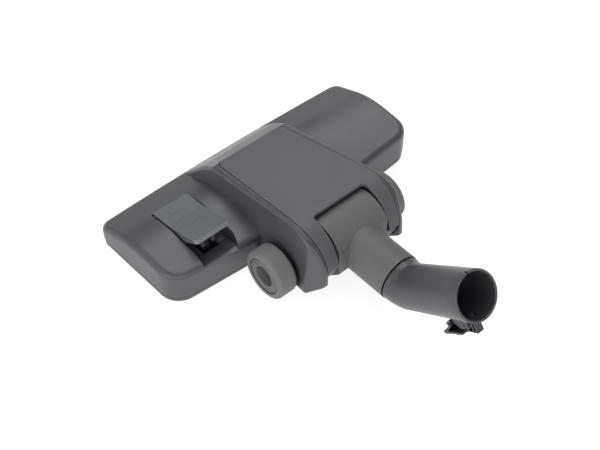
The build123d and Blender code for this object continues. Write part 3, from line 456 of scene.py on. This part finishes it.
LEVER_HALF = 3.0
NOSE_HALF = 2.0
TAB_HALF = 6.0
WALL_INNER = 2.4
WEB_OUTER = 2.95
BRACE_INNER = 2.42
HUB_RADIUS = 2.6
lever_web = [
    (11.9, -22.1),
    (11.9, -31.0),
    (23.4, -31.0),
    (27.0, -32.0),
    (46.0, -33.0),
    (38.5, -27.0),
    (35.0, -22.2),
]
lever_brace = [(20.6, -27.6), (23.8, -27.6), (25.5, -31.2), (22.5, -30.9)]
lever_ribs = [
    [(11.8, -22.0), (11.8, -31.1), (13.4, -31.1), (13.4, -22.0)],
    [(15.3, -22.1), (15.3, -31.0), (16.9, -31.0), (16.9, -22.1)],
    [(11.9, -22.05), (18.5, -22.05), (18.5, -23.3), (11.9, -23.3)],
    [(11.9, -30.0), (23.5, -30.0), (23.5, -31.05), (11.9, -31.05)],
    [(17.0, -25.6), (17.9, -24.6), (23.6, -30.2), (22.6, -30.95)],
    [(23.0, -30.0), (27.5, -31.1), (27.5, -32.9), (23.0, -31.1)],
]
lever_tab = [
    (27.0, -31.15),
    (27.0, -32.95),
    (30.7, -32.95),
    (32.5, -33.95),
    (34.3, -32.95),
    (46.7, -34.45),
    (48.5, -32.65),
    (39.7, -26.95),
    (41.1, -23.95),
    (36.5, -21.35),
    (34.7, -23.15),
    (38.4, -23.95),
    (37.0, -26.95),
    (43.1, -31.75),
]
lever_nose = [(11.85, -22.2), (11.85, -17.9), (13.8, -17.9), (15.8, -22.2)]
lever_slabs = [
    (lever_web, WALL_INNER, WEB_OUTER),
    (pin_circle(HUB_RADIUS), -LEVER_HALF, -WALL_INNER),
    (lever_brace, PARTING - LEVER_HALF, -BRACE_INNER),
]
lever_slabs += [(rib, -LEVER_HALF, LEVER_HALF) for rib in lever_ribs]
lever_slabs += [(lever_nose, -NOSE_HALF, NOSE_HALF), (lever_tab, -TAB_HALF, TAB_HALF)]
points = []
faces = []
for outline, x_from, x_to in lever_slabs:
    add_slab(points, faces, outline, x_from, x_to, under_socket)
latch_piece = mesh_piece("latch_ribs", points, faces, "latch", latch, crease=20.0)
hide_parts("latch_lever")

# Bristle tufts in place of the two solid strips

ROW_Y = 26.0
TUFTS = 76
TUFT_START = -112.5
TUFT_PITCH = 3.0
TUFT_RADIUS = 0.9
STRANDS = 14
STRAND_ROOT = 9.4
STRAND_TIP = 1.05
STRAND_THICKNESS = 0.22
SPLAY_X = 1.3
SPLAY_Y = 0.1
LEAN_X = 0.35
LEAN_Y = 0.2
SHORTFALL = 0.35
STRAND_BOW = 0.5

random.seed(7)
for name, row_y in (("front", ROW_Y), ("rear", -ROW_Y)):
    points = []
    faces = []
    for tuft in range(TUFTS):
        tuft_x = TUFT_START + TUFT_PITCH * tuft
        for _ in range(STRANDS):
            spread = sqrt(random.random()) * TUFT_RADIUS
            turn = random.uniform(0.0, 2.0 * pi)
            off_x = spread * cos(turn)
            off_y = spread * sin(turn)
            root = Vector((tuft_x + off_x, row_y + off_y, STRAND_ROOT))
            lean_x = random.gauss(0.0, LEAN_X)
            lean_y = random.uniform(-LEAN_Y, LEAN_Y)
            lean = Vector((lean_x, lean_y, random.uniform(0.0, SHORTFALL)))
            tip = Vector((root.x + SPLAY_X * off_x, root.y + SPLAY_Y * off_y, STRAND_TIP)) + lean
            bow = Vector((random.gauss(0.0, STRAND_BOW), 0.0, 0.0))
            add_fibre(points, faces, root, tip, STRAND_THICKNESS, bow)
    tufts = mesh_piece(f"bristle_tufts_{name}", points, faces, "brush", bristle)
    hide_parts(f"bristle_strip_{name}")

# Napped pile in place of the two lint strips

STRIP_Y = 17.0
BACKING_HALF_LENGTH = 36.9
BACKING_HALF_WIDTH = 2.45
BACKING_TOP = 1.38
BACKING_FACE = 0.95
PILE_COLUMNS = 160
PILE_ROWS = 10
PILE_LENGTH = 72.8
PILE_WIDTH = 4.2
PILE_SCATTER = 0.15
PILE_ROOT = 1.0
PILE_TIP_LOW = 0.06
PILE_TIP_HIGH = 0.3
NAP_X = 0.12
NAP_Y = 0.2
PILE_THICKNESS = 0.2
PILE_BOW = Vector((0.0, 0.1, 0.0))


def as_given(x, y, z):
    """Point at its own coordinates."""
    return Vector((x, y, z))


for name, strip_y in (("front", STRIP_Y), ("rear", -STRIP_Y)):
    points = []
    faces = []
    backing = [
        (strip_y - BACKING_HALF_WIDTH, BACKING_TOP),
        (strip_y + BACKING_HALF_WIDTH, BACKING_TOP),
        (strip_y + BACKING_HALF_WIDTH, BACKING_FACE),
        (strip_y - BACKING_HALF_WIDTH, BACKING_FACE),
    ]
    add_slab(points, faces, backing, -BACKING_HALF_LENGTH, BACKING_HALF_LENGTH, as_given)
    for column in range(PILE_COLUMNS):
        column_x = -PILE_LENGTH / 2 + PILE_LENGTH * column / (PILE_COLUMNS - 1)
        for row in range(PILE_ROWS):
            row_y = strip_y - PILE_WIDTH / 2 + PILE_WIDTH * row / (PILE_ROWS - 1)
            x = column_x + random.uniform(-PILE_SCATTER, PILE_SCATTER)
            y = row_y + random.uniform(-PILE_SCATTER, PILE_SCATTER)
            tip_x = x + random.uniform(-NAP_X, NAP_X)
            tip_y = y + random.uniform(0.0, NAP_Y)
            tip = Vector((tip_x, tip_y, random.uniform(PILE_TIP_LOW, PILE_TIP_HIGH)))
            add_fibre(points, faces, Vector((x, y, PILE_ROOT)), tip, PILE_THICKNESS, PILE_BOW)
    nap = mesh_piece(f"lint_nap_{name}", points, faces, "base", pile)
    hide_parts(f"lint_strip_{name}")

# Low marks on the pedal's pads: a plain bar in front and a small brush behind

MARK_HEIGHT = 0.14
MARK_SINK = 0.3
MARK_X = (-87.0, -73.0)
BAR_Y = (5.6, 8.2)
BRUSH_BACK_Y = (-14.6, -13.0)
HAIR_Y = (-18.4, -15.2)
HAIRS = 8
HAIR_START = -86.6
HAIR_PITCH = 1.85
HAIR_WIDTH = 0.7
RAY_START = 0.2  # metres over the floor


def on_pedal(x, y):
    """Point of the pedal's upper face over one place, in millimetres."""
    top = nodes["pedal"]
    to_local = top.matrix_world.inverted()
    start = to_local @ Vector((x * MM, y * MM, RAY_START))
    spot = top.ray_cast(start, to_local.to_3x3() @ -UPWARD)[1]
    return (top.matrix_world @ spot) / MM


def add_mark(points, faces, x_span, y_span):
    """Adds one low flat mark that follows the pad under it."""
    x_from, x_to = x_span
    y_from, y_to = y_span
    corners = ((x_from, y_from), (x_to, y_from), (x_to, y_to), (x_from, y_to))
    spots = [on_pedal(x, y) for x, y in corners]
    levels = (MARK_HEIGHT, -MARK_SINK)
    add_skin(points, faces, [[spot + UPWARD * level for spot in spots] for level in levels])


points = []
faces = []
add_mark(points, faces, MARK_X, BAR_Y)
add_mark(points, faces, MARK_X, BRUSH_BACK_Y)
for hair in range(HAIRS):
    x = HAIR_START + HAIR_PITCH * hair
    add_mark(points, faces, (x, x + HAIR_WIDTH), HAIR_Y)
mesh_piece("pedal_marks", points, faces, "pedal", pedal)

# Lip of the pedal's rear edge, where a foot lifts it, in a lighter finish that is a painted highlight

LIP_X = -80.3
LIP_HALF = 14.2
LIP_CORNER = 2.8
LIP_TOP = (-39.0, 46.5)
LIP_LEAN = radians(18.0)
LIP_STEPS = 8
# Section of the lip, as distance down from the edge and out of it
lip_line = [(0.0, 0.02), (0.3, 0.3), (2.3, 1.4), (2.7, 1.3), (2.8, 0.9), (2.5, -0.3), (0.2, -0.3)]
down = Vector((0.0, -sin(LIP_LEAN), -cos(LIP_LEAN)))
rearward = Vector((0.0, -cos(LIP_LEAN), sin(LIP_LEAN)))
corner_turns = [pi / 2 * k / LIP_STEPS for k in range(LIP_STEPS + 1)]
lip_stops = [(-1.0, turn) for turn in corner_turns]
lip_stops += [(1.0, turn) for turn in reversed(corner_turns)]
rings = []
for side, turn in lip_stops:
    x = LIP_X + side * (LIP_HALF + LIP_CORNER * cos(turn))
    edge = Vector((x, *LIP_TOP)) - rearward * (LIP_CORNER * (1.0 - sin(turn)))
    away = Vector((side * cos(turn), 0.0, 0.0)) + rearward * sin(turn)
    ring = []
    for along, out in lip_line:
        ring.append(edge + down * along + away * (out * sin(turn) if out > 0.0 else out))
    rings.append(ring)
points = []
faces = []
add_skin(points, faces, rings)
mesh_piece("pedal_lip_highlit", points, faces, "pedal", lip_highlight)

# Mould seam over the drum, with a wider start, and along the stub

DRUM_Y = -101.7
DRUM_RADIUS = 26.9
STUB_TOP = 57.8
STUB_RUN = (-122.0, -163.4)
SEAM_FROM = 72.0
SEAM_SWEEP = 60.0
SEAM_STEPS = 24
SEAM_HALF = 0.4
SEAM_HEIGHT = 0.14
SEAM_START_HALF = 0.9
SEAM_START_HEIGHT = 0.32
STUB_SEAM_HEIGHT = 0.12
SEAM_SINK = 0.1


def add_seam(points, faces, line, half_width, height):
    """Adds a low ridge along a line of points, each with the direction up from its surface."""
    crest = half_width / 2
    ridge = ((-half_width, -SEAM_SINK), (-crest, height), (crest, height), (half_width, -SEAM_SINK))
    rings = [[spot + ACROSS * x + rise * level for x, level in ridge] for spot, rise in line]
    add_skin(points, faces, rings)


drum_seam = []
for k in range(SEAM_STEPS + 1):
    turn = radians(SEAM_FROM + SEAM_SWEEP * k / SEAM_STEPS)
    rise = Vector((0.0, cos(turn), sin(turn)))
    drum_seam.append((Vector((0.0, DRUM_Y, AXIS_Z)) + rise * DRUM_RADIUS, rise))
stub_seam = [(Vector((0.0, y, STUB_TOP)), UPWARD) for y in STUB_RUN]
points = []
faces = []
add_seam(points, faces, drum_seam, SEAM_HALF, SEAM_HEIGHT)
add_seam(points, faces, drum_seam[:2], SEAM_START_HALF, SEAM_START_HEIGHT)
add_seam(points, faces, stub_seam, SEAM_HALF, STUB_SEAM_HEIGHT)
mesh_piece("neck_seam", points, faces, "neck", neck, crease=60.0)

# Floor, light and camera

FLOOR_SIZE = 12.0
FLOOR_Z = -0.0002  # just under the sole, so that the two don't share a plane
WHITE = (1.0, 1.0, 1.0, 1.0)
LIGHT_AIM = Vector((0.0, -0.1, 0.02))
# Heights of the view's direction between which the world fades, and its strengths there
PALE_BELOW = 0.11
DIM_ABOVE = 0.20
PALE_SKY = 0.95
DIM_SKY = 0.14
# Camera fitted to the photograph
SENSOR_WIDTH = 36.0
FOCAL_LENGTH = 68.26
CAMERA_PLACE = (-0.4177, -0.5218, 0.7066)
CAMERA_RIGHT = (0.7479, -0.6638, -0.0005)
CAMERA_BACK = (-0.4426, -0.4992, 0.7450)


def floor_finish():
    """Pale, faintly uneven studio floor."""
    mat, tree, shader = new_finish("floor_pale")
    shader.inputs["Roughness"].default_value = 0.9
    shader.inputs["Specular IOR Level"].default_value = 0.1
    shader.inputs["Emission Color"].default_value = WHITE
    shader.inputs["Emission Strength"].default_value = 0.8
    drift = add_node(tree, "ShaderNodeTexNoise", {"Scale": 3.0})
    tone = add_tones(tree, drift, (0.40, 0.40, 0.40), (0.42, 0.42, 0.42))
    tree.links.new(tone.outputs["Color"], shader.inputs["Base Color"])
    return mat


bpy.ops.mesh.primitive_plane_add(size=FLOOR_SIZE, location=(0.0, 0.0, FLOOR_Z))
floor = bpy.context.object
floor.name = "floor"
floor.data.materials.append(floor_finish())


def soft_light(name, place, size, power):
    """Large square lamp turned to the middle of the part."""
    data = bpy.data.lights.new(name, "AREA")
    data.size = size
    data.energy = power
    lamp = bpy.data.objects.new(name, data)
    lamp.location = place
    lamp.rotation_euler = (LIGHT_AIM - Vector(place)).to_track_quat("-Z", "Y").to_euler()
    bpy.context.scene.collection.objects.link(lamp)


soft_light("top_light", (0.2, -0.2, 1.9), 1.4, 9.0)
soft_light("top_front_light", (0.4, 0.7, 1.7), 1.2, 7.4)
soft_light("front_right_light", (1.0, 0.9, 1.3), 1.2, 9.4)
soft_light("front_left_light", (-1.0, 0.9, 1.2), 1.2, 4.7)
soft_light("left_light", (-1.6, -0.2, 0.6), 1.2, 11.0)
soft_light("rear_left_light", (-0.9, -1.5, 0.9), 1.2, 9.1)
soft_light("rear_light", (0.2, -1.8, 0.8), 1.2, 5.4)

# World: pale at the horizon, where low views look past the floor, and dim overhead
world = bpy.data.worlds.new("studio")
world.use_nodes = True
sky = world.node_tree
background = sky.nodes["Background"]
background.inputs["Color"].default_value = WHITE
heading = add_node(sky, "ShaderNodeTexCoord")
parts = add_node(sky, "ShaderNodeSeparateXYZ")
sky.links.new(heading.outputs["Generated"], parts.inputs["Vector"])
sky_range = {"From Min": PALE_BELOW, "From Max": DIM_ABOVE, "To Min": PALE_SKY, "To Max": DIM_SKY}
fade = add_node(sky, "ShaderNodeMapRange", sky_range)
sky.links.new(parts.outputs["Z"], fade.inputs["Value"])
sky.links.new(fade.outputs["Result"], background.inputs["Strength"])
bpy.context.scene.world = world

lens = bpy.data.cameras.new("photo_camera")
lens.sensor_fit = "HORIZONTAL"
lens.sensor_width = SENSOR_WIDTH
lens.lens = FOCAL_LENGTH
camera = bpy.data.objects.new("photo_camera", lens)
right = Vector(CAMERA_RIGHT).normalized()
back = Vector(CAMERA_BACK).normalized()
up = back.cross(right).normalized()
turned = Matrix((right, up, back)).transposed().to_4x4()
camera.matrix_world = Matrix.Translation(CAMERA_PLACE) @ turned
bpy.context.scene.collection.objects.link(camera)
bpy.context.scene.camera = camera
bpy.context.scene.view_settings.view_transform = "Standard"
